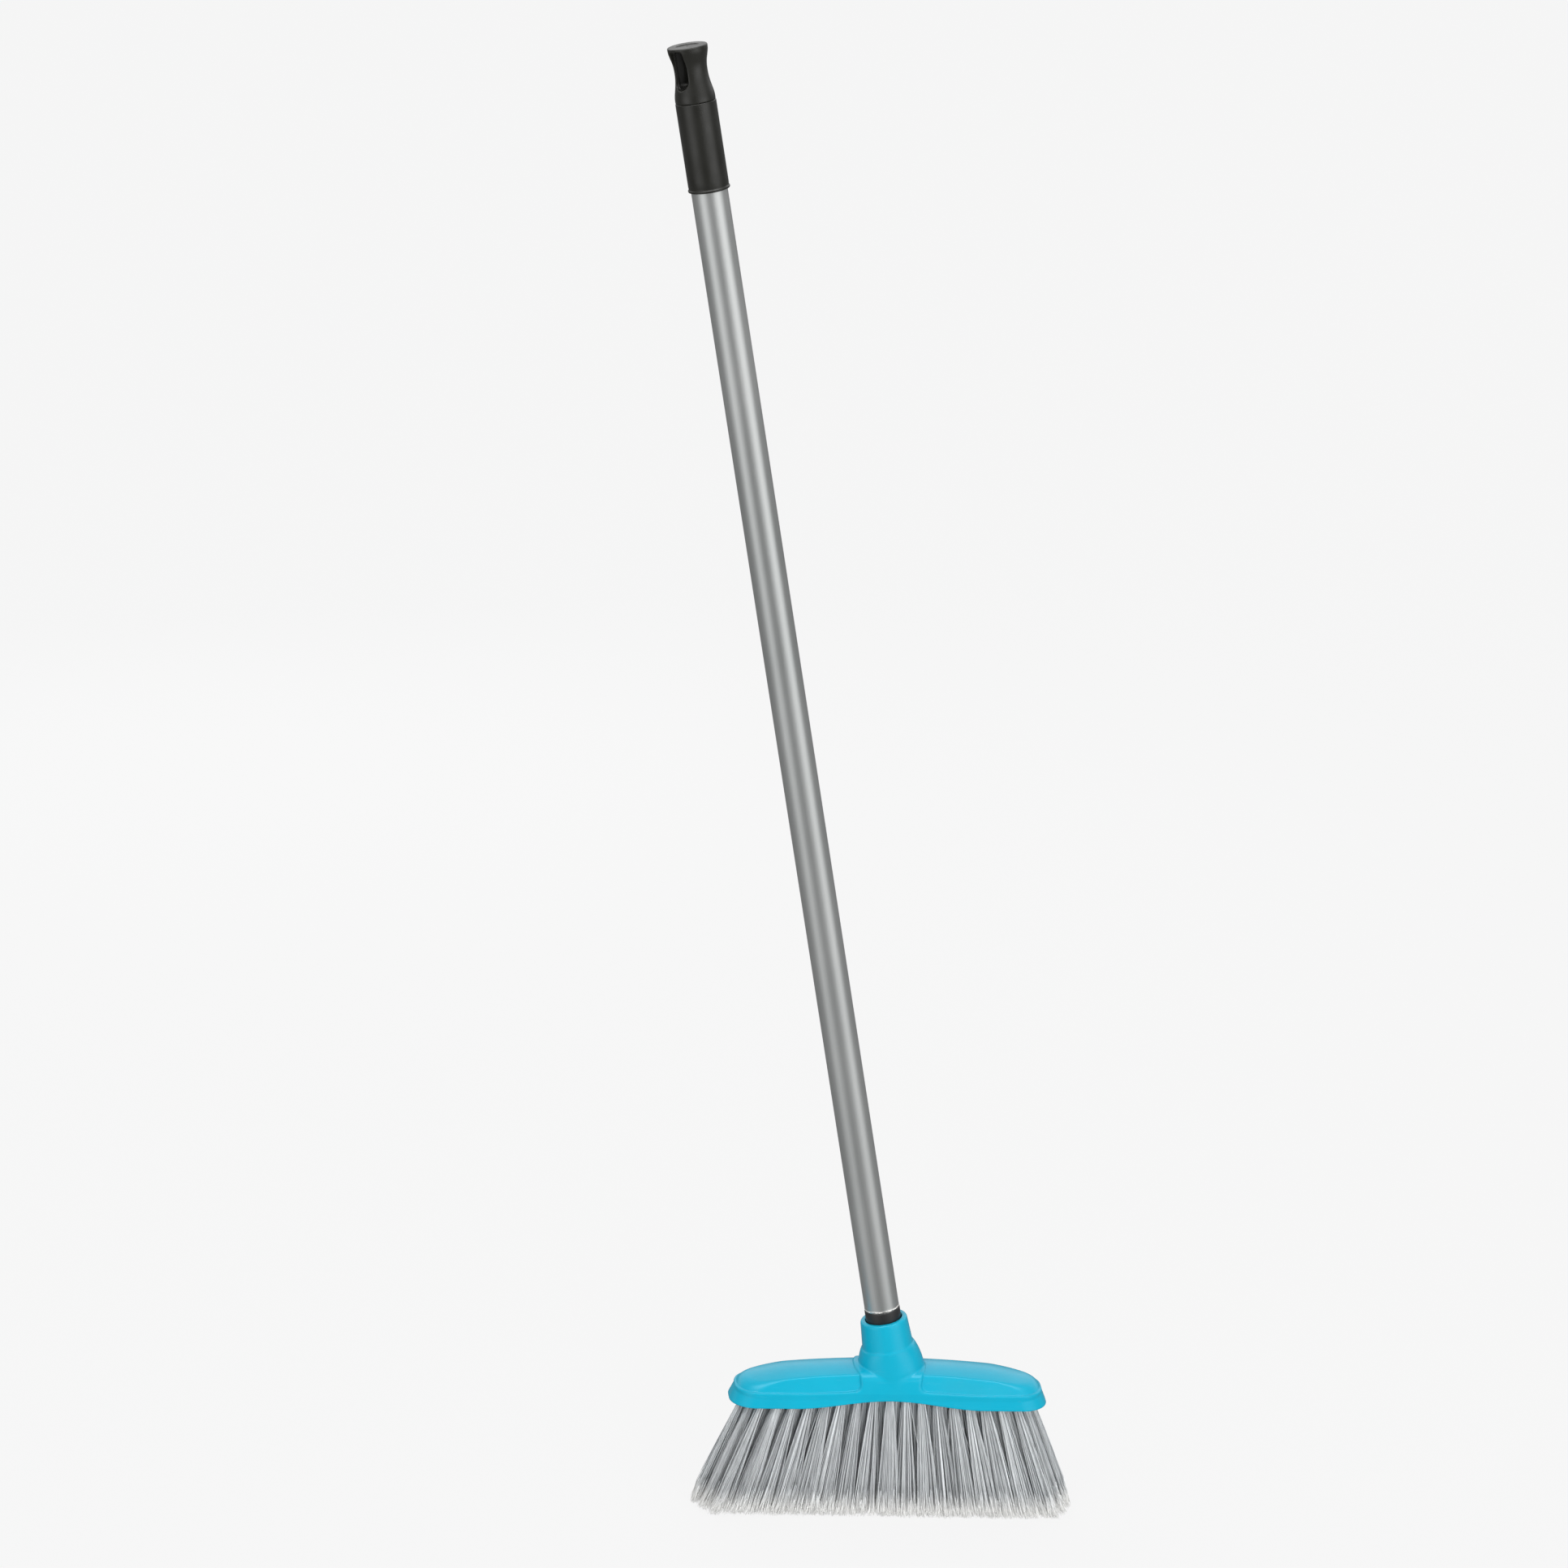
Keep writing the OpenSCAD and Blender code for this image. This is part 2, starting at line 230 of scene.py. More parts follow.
def area_light(name, place, aim, size, power):
    """Square lamp that lights but isn't seen, straight or in gloss."""
    data = bpy.data.lights.new(name, "AREA")
    data.energy = power
    data.shape = "RECTANGLE"
    data.size = size
    data.size_y = size
    lamp = bpy.data.objects.new(name, data)
    SCENE.collection.objects.link(lamp)
    lamp.location = place
    lamp.visible_camera = False
    lamp.visible_glossy = False
    lamp.rotation_euler = (Vector(place) - Vector(aim)).to_track_quat("Z", "Y").to_euler()


# ---------------------------------------------------------------- meshes

def add_piece(name, points_mm, faces):
    mesh = bpy.data.meshes.new(name)
    mesh.from_pydata((np.asarray(points_mm) * MM).tolist(), [], faces)
    mesh.update()
    mesh.polygons.foreach_set("use_smooth", [True] * len(mesh.polygons))
    piece = bpy.data.objects.new(name, mesh)
    SCENE.collection.objects.link(piece)
    return piece


def smooth_min(a, b, k):
    """The lesser of two fields, with the edge between them rounded over k."""
    h = np.maximum(k - np.abs(a - b), 0) / k
    return np.minimum(a, b) - h * h * k / 4


def smooth_max(a, b, k):
    return -smooth_min(-a, -b, k)


def plan_distance(x, y, half_l, half_w, r):
    """Signed distance in plan to a rectangle with round corners."""
    qx = np.abs(x) - half_l + r
    qy = np.abs(y) - half_w + r
    return np.hypot(np.maximum(qx, 0), np.maximum(qy, 0)) + np.minimum(np.maximum(qx, qy), 0) - r


def ease(u):
    """From 0 to 1 with level ends, as u goes from 0 to 1."""
    u = np.clip(u, 0, 1)
    return u * u * (3 - 2 * u)


def swell(u):
    """A round hump, 1 at u = 0 and 0 from u = 1 on."""
    return np.where(np.abs(u) < 1, (np.cos(np.pi * u) + 1) / 2, 0)


def graded(*spans):
    """Grid lines along one direction, from spans of (start, end, step)."""
    lines = [np.array([spans[0][0]], float)]
    for start, end, step in spans:
        count = max(1, int(round((end - start) / step)))
        lines.append(np.linspace(start, end, count + 1)[1:])
    return np.concatenate(lines)


def neighbours(values, axis):
    """Two views of a grid, each point and the next one along an axis."""
    low = [slice(None)] * 3
    high = [slice(None)] * 3
    low[axis] = slice(None, -1)
    high[axis] = slice(1, None)
    return values[tuple(low)], values[tuple(high)]


def cell_points(values, lines):
    """For each grid cell, the sum and the count of the points where the surface cuts its edges."""
    inside = values < 0
    cells = tuple(len(a) - 1 for a in lines)
    total = np.zeros(cells + (3,))
    count = np.zeros(cells)
    for axis in range(3):
        others = [a for a in range(3) if a != axis]
        value_a, value_b = neighbours(values, axis)
        inside_a, inside_b = neighbours(inside, axis)
        idx = np.argwhere(inside_a != inside_b)
        cut = tuple(idx.T)
        share = value_a[cut] / (value_a[cut] - value_b[cut])
        points = np.stack([lines[a][idx[:, a]] for a in range(3)], axis=1)
        points[:, axis] += share * (lines[axis][idx[:, axis] + 1] - lines[axis][idx[:, axis]])
        for step_a in (0, 1):
            for step_b in (0, 1):
                cell = idx.copy()
                cell[:, others[0]] -= step_a
                cell[:, others[1]] -= step_b
                keep = np.all((cell >= 0) & (cell < cells), axis=1)
                where = tuple(cell[keep].T)
                np.add.at(total, where, points[keep])
                np.add.at(count, where, 1)
    return total, count


def edge_quads(inside, number):
    """A quad through the four cells round each grid edge that the surface cuts."""
    quads = []
    for axis in range(3):
        b, c = [(1, 2), (2, 0), (0, 1)][axis]
        first, second = neighbours(inside, axis)
        idx = np.argwhere(first != second)
        flip = second[tuple(idx.T)]
        ring = []
        for step_b, step_c in ((1, 1), (0, 1), (0, 0), (1, 0)):
            cell = idx.copy()
            cell[:, b] -= step_b
            cell[:, c] -= step_c
            ring.append(number[tuple(cell.T)])
        quad = np.stack(ring, axis=1)
        quad[flip] = quad[flip][:, ::-1]
        quads.append(quad)
    return np.concatenate(quads)


def pull_to_surface(field, points, reach, rounds=4, tiny=0.01, least_slope=0.05):
    """Moves each point onto field = 0 by Newton steps of at most reach."""
    for _ in range(rounds):
        x, y, z = points.T
        slope = np.stack([field(x + tiny, y, z) - field(x - tiny, y, z),
                          field(x, y + tiny, z) - field(x, y - tiny, z),
                          field(x, y, z + tiny) - field(x, y, z - tiny)], axis=1) / (2 * tiny)
        steepness = np.maximum((slope ** 2).sum(1), least_slope)
        move = -(field(x, y, z) / steepness)[:, None] * slope
        length = np.maximum(np.linalg.norm(move, axis=1), 1e-9)
        points = points + move * np.minimum(1, reach / length)[:, None]
    return points


def surface_net(field, xs, ys, zs):
    """Closed mesh of field(x, y, z) = 0, as quads with each point moved onto the surface."""
    lines = (xs, ys, zs)
    values = np.asarray(field(xs[:, None, None], ys[None, :, None], zs[None, None, :]))
    total, count = cell_points(values, lines)
    used = count > 0
    number = np.full(count.shape, -1)
    number[used] = np.arange(used.sum())
    points = total[used] / count[used][:, None]
    reach = 0.45 * min(np.diff(a).min() for a in lines)
    return pull_to_surface(field, points, reach), edge_quads(values < 0, number).tolist()


def lathe(name, outline, turns=128, wobble=None):
    """Solid of revolution about the handle's axis; outline is a closed list of (radius, station)."""
    angles = np.linspace(0, 2 * math.pi, turns, endpoint=False)
    rings = []
    for r, s in outline:
        radius = np.full(turns, float(r))
        station = np.full(turns, float(s))
        if wobble:
            station = wobble(station, angles)
        rings.append(MOUTH + np.outer(station, AXIS) + np.outer(radius * np.cos(angles), ACROSS)
                     + np.outer(radius * np.sin(angles), BACKWARD))
    faces = []
    for k in range(len(outline)):
        nxt = (k + 1) % len(outline)
        for j in range(turns):
            i = (j + 1) % turns
            faces.append((k * turns + j, k * turns + i, nxt * turns + i, nxt * turns + j))
    return add_piece(name, np.concatenate(rings), faces)


def arc(cx, cy, r, start, end, steps=6):
    """Points of a round corner in an outline, angles in degrees."""
    angles = np.radians(np.linspace(start, end, steps))
    return [(cx + r * math.cos(a), cy + r * math.sin(a)) for a in angles]


def curve_through(xs, ys):
    """Smooth curve through points, as a cubic with slopes from the neighbours."""
    xs, ys = np.array(xs), np.array(ys)
    slopes = np.gradient(ys, xs)

    def at(x):
        k = np.clip(np.searchsorted(xs, x) - 1, 0, len(xs) - 2)
        h = xs[k + 1] - xs[k]
        p = np.clip((x - xs[k]) / h, 0, 1)
        return ((2 * p ** 3 - 3 * p ** 2 + 1) * ys[k] + (p ** 3 - 2 * p ** 2 + p) * h * slopes[k]
                + (3 * p ** 2 - 2 * p ** 3) * ys[k + 1] + (p ** 3 - p ** 2) * h * slopes[k + 1])
    return at


# ---------------------------------------------------------------- head cover

SKIRT_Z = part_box("head_cover")[0].z / MM
HALF_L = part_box("head_cover")[1].x / MM
HALF_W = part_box("head_cover")[1].y / MM
SEAT_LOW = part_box("bristle_block")[0].z / MM
SEAT_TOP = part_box("bristle_block")[1].z / MM
SEAT_GAP = 0.05
SEAT_HALF_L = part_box("bristle_block")[1].x / MM + SEAT_GAP
SEAT_HALF_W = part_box("bristle_block")[1].y / MM + SEAT_GAP
SEAT_CORNER = 19.0
WALL = 2.4

# The band round the lower edge: its round corners, how far its ends and faces lean in for each
# millimetre of height, and how far its two edges rise in the middle, over that half length.
CORNER = 22.0
BAND_Z = 106.8
END_LEAN, FACE_LEAN = 0.42, 0.19
LOW_EDGE_RISE, LOW_EDGE_HALF, LOW_EDGE_ROUND = 6.9, 78, 1.6
BAND_RISE, BAND_RISE_HALF, BAND_ROUND = 3.2, 75, 1.3

# The crest arches along the head and across it, and drops more from CREST_END to the ends.
CREST_Z, CREST_ARCH = 124, 1640
CREST_CROWN, CROWN_HALF = 2.0, 17
CREST_DROP, CREST_END, CREST_END_RUN = 2.9, 80, 45

# The wings stand on the band, set in from it. Their upper edge is rounder near the ends.
WING_Z = 107
WING_IN_X, WING_IN_Y, WING_CORNER = 6.3, 3.2, 20.8
WING_END_LEAN, WING_FACE_LEAN, SADDLE_FACE_LEAN = 0.44, 0.33, 0.2
LEANING_WALL_SCALE = 0.95
WING_EDGE, WING_EDGE_END, WING_EDGE_FROM, WING_EDGE_RUN = 1.3, 4.2, 84, 26

# The saddle between the wings is a little fuller, and ends at each side on a circle in plan, whose
# centre is past the middle of the head.
SADDLE_GROW, SADDLE_EDGE = 1.7, 6.0
SADDLE_R, SADDLE_CENTRE = 50, 20.5
SADDLE_FOOT, SADDLE_STEP, SADDLE_CREASE = 6.0, 1.8, 0.35

# The neck, by distance t along the handle from the mouth: a tapering socket on a ring that flares out.
SOCKET_R, SOCKET_TAPER, SOCKET_TOP, SOCKET_ROUND = 19.0, 1.6 / 22, 1.3, 2.4
RING_T, RING_R, RING_ROUND, RING_CREASE = -22.0, 21.4, 1.6, 0.7
FLARE_X, FLARE_RUN_X = 7.1, 13
FLARE_Y, FLARE_RUN_Y = 1.2, 20
NECK_LOW_Z, NECK_FILLET = 100, 0.9

# The bore has a helical groove, which starts at GROOVE_LOW and is on the right-hand side at HELIX_T.
# Above LEDGE_T a wider counterbore takes the collar ring.
HELIX_T, GROOVE_LOW, PITCH = -34.4, -40.4, 5.0
BORE_R, GROOVE_R, GROOVE_HALF, GROOVE_FLANK, GROOVE_RUNOUT = 10.0, 11.55, 2.1, 0.9, 1.5
BORE_TOP, COUNTERBORE_R, LEDGE_T = 5, 14.9, -10.0
ROOM_ROUND = 0.7


def handle_coords(x, y, z):
    """Offset across the handle in the head's plane, offset to the back, distance from the mouth."""
    across = (x - MOUTH[0]) * ACROSS[0] + (z - MOUTH[2]) * ACROSS[2]
    along = (x - MOUTH[0]) * AXIS[0] + (z - MOUTH[2]) * AXIS[2]
    return across, y - MOUTH[1], along


def crest(x, y):
    """Height of the wings' top face."""
    drop = CREST_DROP * ease((np.abs(x) - CREST_END) / CREST_END_RUN)
    return CREST_Z - x * x / CREST_ARCH - CREST_CROWN * (y / CROWN_HALF) ** 2 - drop


def loaf(x, y, z, face_lean, grow, edge):
    """Loaf with leaning walls under the crest, grown all round, with its upper edge rounded."""
    climb = np.maximum(z - WING_Z, 0)
    wall = plan_distance(x, y, HALF_L - WING_IN_X - WING_END_LEAN * climb + grow,
                         HALF_W - WING_IN_Y - face_lean * climb + grow, WING_CORNER)
    return smooth_max(LEANING_WALL_SCALE * wall, z - crest(x, y) - grow, edge)


def shell_plan(x, y, z, inset):
    """Plan of the band at height z, with its walls moved in by inset."""
    climb = z - SKIRT_Z
    return plan_distance(x, y, HALF_L - inset - END_LEAN * climb, HALF_W - inset - FACE_LEAN * climb,
                         CORNER - inset)


def neck_field(u, v, t, z):
    """Tapered socket and the flared ring under it."""
    socket = smooth_max(np.hypot(u, v) - (SOCKET_R - SOCKET_TAPER * t), t - SOCKET_TOP,
                        SOCKET_ROUND)
    below = np.maximum(RING_T - t, 0)
    wide = RING_R + FLARE_X * (1 - np.exp(-below / FLARE_RUN_X))
    deep = RING_R + FLARE_Y * np.clip(below / FLARE_RUN_Y, 0, 1)
    flare = smooth_max((np.hypot(u / wide, v / deep) - 1) * RING_R, t - RING_T, RING_ROUND)
    return smooth_max(smooth_min(socket, flare, RING_CREASE), NECK_LOW_Z - z, 1.0)


def threaded_bore(u, v, t):
    """Bore with a helical groove that the insert's ridge runs in."""
    turn = np.arctan2(v, u) / (2 * np.pi)
    from_groove = np.abs(((t - HELIX_T) / PITCH - turn + 0.5) % 1 - 0.5) * PITCH
    groove = np.clip((GROOVE_HALF - from_groove) / GROOVE_FLANK, 0, 1)
    started = np.clip((t - GROOVE_LOW) / GROOVE_RUNOUT, 0, 1)
    return np.hypot(u, v) - BORE_R - (GROOVE_R - BORE_R) * groove * started


def cover_field(x, y, z):
    """Below 0 in the cover's plastic: band, wings, saddle and neck, less the rooms inside."""
    size_x = np.abs(x)
    lower_edge = SKIRT_Z + LOW_EDGE_RISE * swell(size_x / LOW_EDGE_HALF)
    band_top = BAND_Z + BAND_RISE * swell(size_x / BAND_RISE_HALF)
    band = smooth_max(shell_plan(x, y, z, 0.0), z - band_top, BAND_ROUND)
    rounding = WING_EDGE + WING_EDGE_END * ease((size_x - WING_EDGE_FROM) / WING_EDGE_RUN)
    wings = loaf(x, y, z, WING_FACE_LEAN, 0.0, rounding)
    window = smooth_max(SADDLE_R - np.hypot(size_x + SADDLE_CENTRE, y), band_top - z, SADDLE_FOOT)
    saddle = loaf(x, y, z, SADDLE_FACE_LEAN, SADDLE_GROW, SADDLE_EDGE)
    saddle = smooth_max(saddle, -window, SADDLE_STEP)
    body = np.minimum(smooth_min(wings, saddle, SADDLE_CREASE), band)
    u, v, t = handle_coords(x, y, z)
    body = smooth_min(body, neck_field(u, v, t, z), NECK_FILLET)
    body = smooth_max(body, lower_edge - z, LOW_EDGE_ROUND)

    bore = np.maximum(threaded_bore(u, v, t), t - BORE_TOP)
    counterbore = np.maximum(np.hypot(u, v) - COUNTERBORE_R, LEDGE_T - t)
    seat = np.maximum(plan_distance(x, y, SEAT_HALF_L, SEAT_HALF_W, SEAT_CORNER), z - SEAT_TOP)
    hollow = np.maximum(shell_plan(x, y, z, WALL), z - SEAT_LOW)
    room = np.minimum(np.minimum(bore, counterbore), np.minimum(seat, hollow))
    return smooth_max(body, -room, ROOM_ROUND)


def make_cover():
    """The cover's shell, on a grid that is finer at the ends and under the neck."""
    end, near_end, middle = 131.4, 104, 46
    xs = graded((-end, -near_end, 0.75), (-near_end, -middle, 1.3), (-middle, middle, 0.72),
                (middle, near_end, 1.3), (near_end, end, 0.75))
    ys = graded((-27.6, 27.6, 0.74))
    zs = graded((92, 130, 0.72), (130, 169.2, 0.8))
    return add_piece("cover", *surface_net(cover_field, xs, ys, zs))


# ---------------------------------------------------------------- bristles

ROW_NODES = ["bristle_row_%d" % (k + 1) for k in range(5)]
MIDDLE_ROW, MIDDLE_TUFTS = 2, 19
ROOT_STEP, ROOT_ROW_STEP, ROOT_Z = 12.5, 7.4, SEAT_LOW + 5.0
TIP_STEP, TIP_ROW_STEP = 17.1, 13.4
# A tuft's strands stand in clumps, set on a spiral with this turn in radians from one to the next.
PER_TUFT, CLUMPS, CLUMP_TURN = 84, 17, 2.4
END_TUFT_SHARE = 0.55
STRAY_SHARE, STRAY_REACH = 0.035, 9
# Spreads of the random parts: strands in their clump, tufts and strands at the tips, greys, bends.
CLUMP_SCATTER, TUFT_DRIFT, TIP_SCATTER, CUT_SCATTER = 0.085, 0.9, 0.7, 0.8
CLUMP_GREY, STRAND_GREY, HAIR_GREY = 0.5, 0.38, 0.6
BOW, BOW_SCATTER = 0.03, 0.05
# The range of a strand's radius, and of the height at which it splits into hairs.
STRAND_R, SPLIT_HEIGHT = (0.29, 0.35), (4, 26)
# A strand's stations: three at these shares of its way, and the rest evenly spaced.
STRAND_STATIONS, STRAND_BENDS = 7, (0.065, 0.16, 0.34)
# The hairs that a strand splits into: their stations as shares of the split length, their radii, how
# far they open there, and how much shorter some are.
HAIRS, HAIR_AT, HAIR_R = 3, (-0.04, 0.35, 0.7, 1.0), (0.24, 0.22, 0.19, 0.13)
HAIR_OPEN, HAIR_SHORT = (0, 0.35, 0.8, 1.25), (0.86, 1.0)
# Strands bend back over the last stretch before these limits, and hairs stop at theirs.
LIMIT_X, LIMIT_Y, TIP_LOW = 157.2, 30.1, 0.35
BEND_BACK_X, BEND_BACK_Y = 7.0, 6.0
HAIR_LIMIT_X, HAIR_LIMIT_Y = LIMIT_X + 0.1, LIMIT_Y + 0.1

# Shares of a strand's way down, with the tuft's radius there: the tuft leaves its hole and fans out,
# less so to the front and back.
FAN_AT = [0, 0.065, 0.12, 0.16, 0.32, 0.54, 1.0]
FAN_R = [2.0, 2.5, 3.0, 3.55, 4.9, 6.7, 9.2]
FAN_DEPTH = 0.8
# The cut tips rise a little towards the left end.
CUT_AT, CUT_Z = [-150, -60, 0, 60, 150], [2.0, 1.4, 1.0, 0.3, 0.3]


def tubes(paths, radii):
    """Three-sided closed strands along paths (count, stations, 3): points, faces."""
    count, length, _ = paths.shape
    ahead = np.gradient(paths, axis=1)
    ahead /= np.linalg.norm(ahead, axis=2, keepdims=True)
    side = np.cross(ahead, (0.31, -0.86, 0.4))
    side /= np.linalg.norm(side, axis=2, keepdims=True)
    third = np.cross(ahead, side)
    spin = rng.uniform(0, 2 * math.pi, count)
    rings = []
    for k in range(3):
        angle = (spin + 2 * math.pi * k / 3)[:, None, None]
        rings.append(paths + radii[..., None] * (np.cos(angle) * side + np.sin(angle) * third))
    points = np.stack(rings, axis=2).reshape(-1, 3)
    base = (np.arange(count) * length * 3)[:, None, None]
    station = (np.arange(length - 1) * 3)[None, :, None]
    k = np.arange(3)[None, None, :]
    nxt = (k + 1) % 3
    quads = np.stack([base + station + k, base + station + nxt, base + station + 3 + nxt,
                      base + station + 3 + k], axis=-1).reshape(-1, 4)
    first = base[:, 0, 0]
    last = first + (length - 1) * 3
    caps = np.concatenate([np.stack([first + 2, first + 1, first], 1),
                           np.stack([last, last + 1, last + 2], 1)])
    return points, quads.tolist() + caps.tolist()


def soft_limit(values, limit, room):
    """Values kept within plus or minus limit, squeezed over the last room before it."""
    over = np.maximum(np.abs(values) - (limit - room), 0)
    size = np.where(over > 0, limit - room + room * (1 - np.exp(-over / room)), np.abs(values))
    return np.sign(values) * size


def strand_points(roots, tips, spread, w, bow):
    """Points of strands at shares w of their way: (strands, stations, 3)."""
    fan = np.interp(w, FAN_AT, FAN_R)
    go = w * (1 + bow[:, None] * (1 - w))
    out = roots[:, None, :] + (tips - roots)[:, None, :] * go[..., None]
    out[..., 2] = roots[:, None, 2] + (tips - roots)[:, None, 2] * w
    out[..., 0] += spread[:, None, 0] * fan
    out[..., 1] += spread[:, None, 1] * fan * FAN_DEPTH
    out[..., 0] = soft_limit(out[..., 0], LIMIT_X, BEND_BACK_X)
    out[..., 1] = soft_limit(out[..., 1], LIMIT_Y, BEND_BACK_Y)
    return out


def tuft(i, side, outer):
    """Roots, tips, places in the tuft and greys of the strands of tuft i, 0 in the middle of its row."""
    n = PER_TUFT
    from_end = outer - abs(i)
    radius = np.sqrt((np.arange(CLUMPS) + 0.5) / CLUMPS)
    angle = CLUMP_TURN * np.arange(CLUMPS) + rng.uniform(0, 2 * math.pi)
    clump = np.stack([radius * np.cos(angle), radius * np.sin(angle)], 1)
    member = rng.integers(0, CLUMPS, n)
    spread = clump[member] + rng.normal(0, CLUMP_SCATTER, (n, 2))
    if from_end < 1:
        spread[:, 0] *= np.where(spread[:, 0] * i > 0, END_TUFT_SHARE, 1)
    drift = rng.normal(0, TUFT_DRIFT, 2)
    tip_x = i * TIP_STEP + drift[0]
    tip_y = side * TIP_ROW_STEP + drift[1]
    tip_z = np.interp(tip_x, CUT_AT, CUT_Z) + np.abs(rng.normal(0, CUT_SCATTER, n))
    tips = np.stack([np.full(n, tip_x), np.full(n, tip_y), tip_z], 1)
    tips[:, :2] += rng.normal(0, TIP_SCATTER, (n, 2))
    stray = (rng.uniform(0, 1, n) < STRAY_SHARE) & (from_end > 1)
    tips[stray, 0] += rng.normal(0, STRAY_REACH, stray.sum())
    roots = np.tile(np.array([i * ROOT_STEP, side * ROOT_ROW_STEP, ROOT_Z]), (n, 1))
    shade = rng.normal(0, CLUMP_GREY, CLUMPS)[member] + rng.normal(0, STRAND_GREY, n)
    return roots, tips, spread, shade


def make_bristles(row):
    """One row of tufts: every strand splits into three fine hairs near the floor."""
    side = row - MIDDLE_ROW
    count = MIDDLE_TUFTS - abs(side)
    outer = (count - 1) / 2
    tufts = [tuft(i, side, outer) for i in np.arange(count) - outer]
    roots, tips, spread, shade = (np.concatenate(part) for part in zip(*tufts))
    shade = np.clip(shade, -1, 1)
    strands = len(roots)
    bow = rng.normal(BOW, BOW_SCATTER, strands)
    split = (1 - rng.uniform(*SPLIT_HEIGHT, strands) / ROOT_Z)[:, None]
    w = np.linspace(0, 1, STRAND_STATIONS)[None, :] * split
    w[:, 1:1 + len(STRAND_BENDS)] = STRAND_BENDS
    thick = rng.uniform(*STRAND_R, strands)[:, None] * np.ones(STRAND_STATIONS)
    parts = [tubes(strand_points(roots, tips, spread, w, bow), thick)]
    tint = [np.repeat(shade, 3 * w.shape[1])]
    run = [w.repeat(3, axis=1).ravel()]
    for _ in range(HAIRS):
        w = split + (1 - split) * np.array(HAIR_AT)
        short = rng.uniform(*HAIR_SHORT, strands)[:, None]
        w = split + (w - split) * np.where(w > split, short, 1)
        hair = strand_points(roots, tips, spread, w, bow)
        open_up = np.array(HAIR_OPEN)[None, :, None]
        hair += open_up * rng.normal(0, 1, (strands, 1, 3)) * (1, 1, 0)
        hair[..., 0] = np.clip(hair[..., 0], -HAIR_LIMIT_X, HAIR_LIMIT_X)
        hair[..., 1] = np.clip(hair[..., 1], -HAIR_LIMIT_Y, HAIR_LIMIT_Y)
        hair[..., 2] = np.maximum(hair[..., 2], TIP_LOW)
        parts.append(tubes(hair, np.array(HAIR_R)[None, :] * np.ones((strands, 1))))
        grey = np.clip(shade + rng.normal(0.1, HAIR_GREY, strands), -1, 1)
        tint.append(np.repeat(grey, 3 * w.shape[1]))
        run.append(w.repeat(3, axis=1).ravel())
    points = np.concatenate([part_points for part_points, _ in parts])
    starts = np.cumsum([0] + [len(part_points) for part_points, _ in parts]).tolist()
    faces = [[k + start for k in face] for start, (_, part_faces) in zip(starts, parts)
             for face in part_faces]
    piece = add_piece("bristles_%d" % (row + 1), points, faces)
    for name, data in (("shade", np.concatenate(tint)), ("run", np.concatenate(run))):
        layer = piece.data.attributes.new(name, "FLOAT", "POINT")
        layer.data.foreach_set("value", data.astype(np.float32))
    return piece


# ---------------------------------------------------------------- handle

COLLAR_LOW, COLLAR_TOP = LEDGE_T + 1.0, stations("collar_ring")[1]
COLLAR_R, COLLAR_BORE_R = handle_radius("collar_ring"), 11.4
LIP, SEAM = stations("grip_sleeve")
FILM_LOW, FILM_HIGH = stations("tube_film")
CAP_TOP = stations("hanger_cap")[1]
TUBE_R = handle_radius("handle_tube")
FILM_R = handle_radius("tube_film")
BEAD = 0.5
GRIP_R = handle_radius("grip_sleeve") - BEAD

# The film's cut edge: a sum of waves round the tube, which dies out over FILM_RAGGED. FILM_CURL is how
# far its first two rows stand off.
FILM_RAGGED = 3.0
FILM_CURL = (0.16, 0.07)
FILM_WAVES = (3, 5, 8, 11, 14, 19, 23, 29, 33, 37, 41, 47)


def make_collar():
    """Plain ring with a small round on its lower edge and a larger one on its upper edge."""
    low_r, top_r = 0.5, 0.7
    outline = [(COLLAR_BORE_R, COLLAR_LOW), (COLLAR_R - low_r, COLLAR_LOW)]
    outline += arc(COLLAR_R - low_r, COLLAR_LOW + low_r, low_r, -90, 0, 4)[1:]
    outline += arc(COLLAR_R - top_r, COLLAR_TOP - top_r, top_r, 0, 90)
    outline += [(COLLAR_BORE_R, COLLAR_TOP)]
    return lathe("collar", outline)


def make_film():
    """Thin sleeve of film on the tube; its cut lower edge is ragged and curls outwards a little."""
    phases = rng.uniform(0, 2 * math.pi, len(FILM_WAVES))

    def ragged(station, angles):
        near = max(0.0, 1 - (station[0] - FILM_LOW) / FILM_RAGGED)
        jag = sum(math.sin(phase) * np.sin(angles * waves + phase * 3) / waves ** 0.5
                  for waves, phase in zip(FILM_WAVES, phases))
        return station + near * (0.5 + 0.5 * jag)

    rows = [FILM_LOW, FILM_LOW + 0.5, FILM_LOW + 1.2, FILM_LOW + FILM_RAGGED]
    rows += list(np.linspace(FILM_LOW + 12, FILM_HIGH - 0.4, 30)) + [FILM_HIGH]
    curl = list(FILM_CURL) + [0.0] * (len(rows) - len(FILM_CURL))
    outer = [(FILM_R + out, s) for out, s in zip(curl, rows)]
    inner = [(TUBE_R - 0.02, s) for s in reversed(rows)]
    return lathe("film", outer + inner, turns=192, wobble=ragged)


